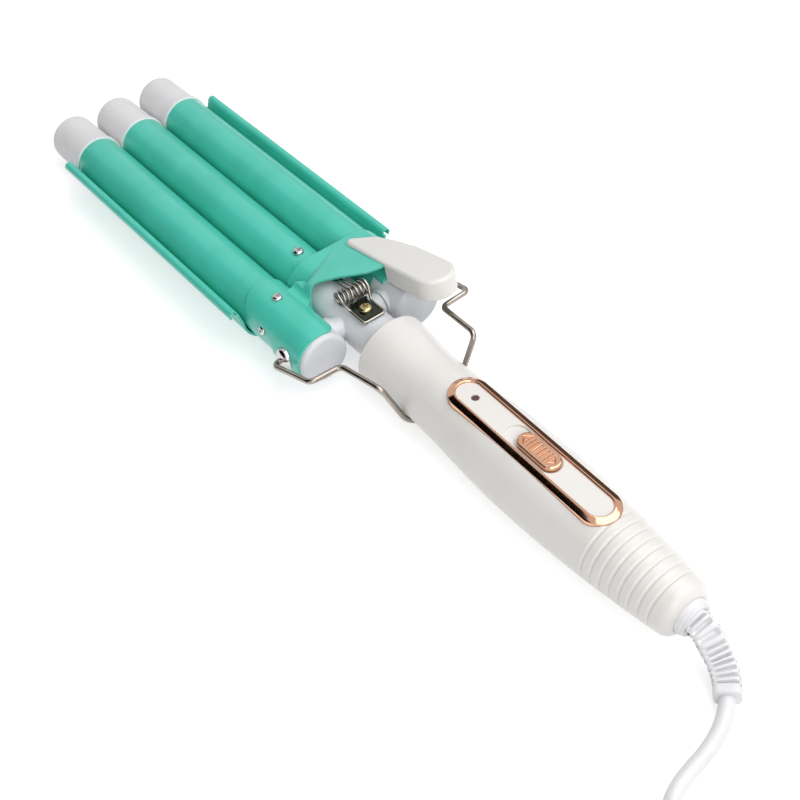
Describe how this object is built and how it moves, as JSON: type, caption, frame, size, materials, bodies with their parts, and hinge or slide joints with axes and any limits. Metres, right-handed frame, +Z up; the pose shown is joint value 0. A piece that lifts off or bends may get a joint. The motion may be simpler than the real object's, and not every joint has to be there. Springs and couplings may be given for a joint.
{
  "type": "hair waver",
  "caption": "Corded hair waving iron: parallel heated barrels over gutter-shaped wings on a sprung scissor jaw, with thumb lever, fold-out wire stand, round handle and slide switch.",
  "frame": {"origin": "on the surface the tool lies on, under the middle of the tool's length, at its symmetry line between the barrels", "axes": "+X from the barrel tips to the cord, +Y to the right-hand side that carries the thumb lever, +Z up; the tool lies on its wings' front edge and its handle's belly"},
  "size_m": [0.5541, 0.1322, 0.0417],
  "materials": {
    "barrel_coating": "pearl ceramic coating, satin gloss",
    "wing_coating": "pearl ceramic coating, satin gloss",
    "cap_plastic": "off-white heat-resistant moulding",
    "heater_metal": "extruded",
    "neck_plastic": "cool white moulding",
    "clamp_steel": "dark polished steel",
    "brass": "bright",
    "wire_steel": "drawn steel wire, nickel plated",
    "chrome": "bright plated",
    "shell_plastic": "warm white moulding",
    "rose_gold": "rose gold metallised",
    "lens_red": "dark red tinted",
    "switch_black": "black moulding",
    "board": "green laminate",
    "lead_rubber": "white flexible, soft sheen",
    "plug_plastic": "white moulding"
  },
  "bodies": {
    "handle": {"centre_barrel": "barrel_coating", "centre_cap": "cap_plastic", "centre_heater": "heater_metal", "centre_screw": "chrome", "wing_plate": "wing_coating", "neck": "neck_plastic", "clamp_plate": "clamp_steel", "clamp_screw": "brass", "torsion_spring": "wire_steel", "handle_shell": "shell_plastic", "bezel": "rose_gold", "control_panel": "shell_plastic", "indicator_lens": "lens_red", "switch_body": "switch_black", "circuit_board": "board", "strain_relief": "lead_rubber", "power_cord": "lead_rubber", "cord_coil": "lead_rubber", "mains_plug": "plug_plastic", "plug_pins": "brass"},
    "jaw": {"left_barrel": "barrel_coating", "right_barrel": "barrel_coating", "left_cap": "cap_plastic", "right_cap": "cap_plastic", "left_heater": "heater_metal", "right_heater": "heater_metal", "left_end_plug": "neck_plastic", "right_end_plug": "neck_plastic", "jaw_bracket": "barrel_coating", "jaw_screws": "chrome", "left_rivet": "chrome", "right_rivet": "chrome", "thumb_lever": "shell_plastic"},
    "stand": {"stand_wire": "wire_steel"},
    "slider": {"switch_button": "rose_gold"}
  },
  "joints": [
    {"name": "jaw_pivot", "type": "hinge", "parent": "handle", "child": "jaw", "pos_m": [0.00546, 0, 0.01893], "axis": [0, 1, 0], "range_deg": [0, 20], "stiffness_Nm_per_rad": 0.35, "springref_deg": -20.05, "deforming": ["torsion_spring"]},
    {"name": "stand_hinge", "type": "hinge", "parent": "jaw", "child": "stand", "pos_m": [0.00546, 0, 0.01893], "axis": [0, 1, 0], "range_deg": [0, 105]},
    {"name": "switch_slide", "type": "slide", "parent": "handle", "child": "slider", "axis": [-1, 0, 0.0067], "range_m": [0, 0.0055]}
  ]
}
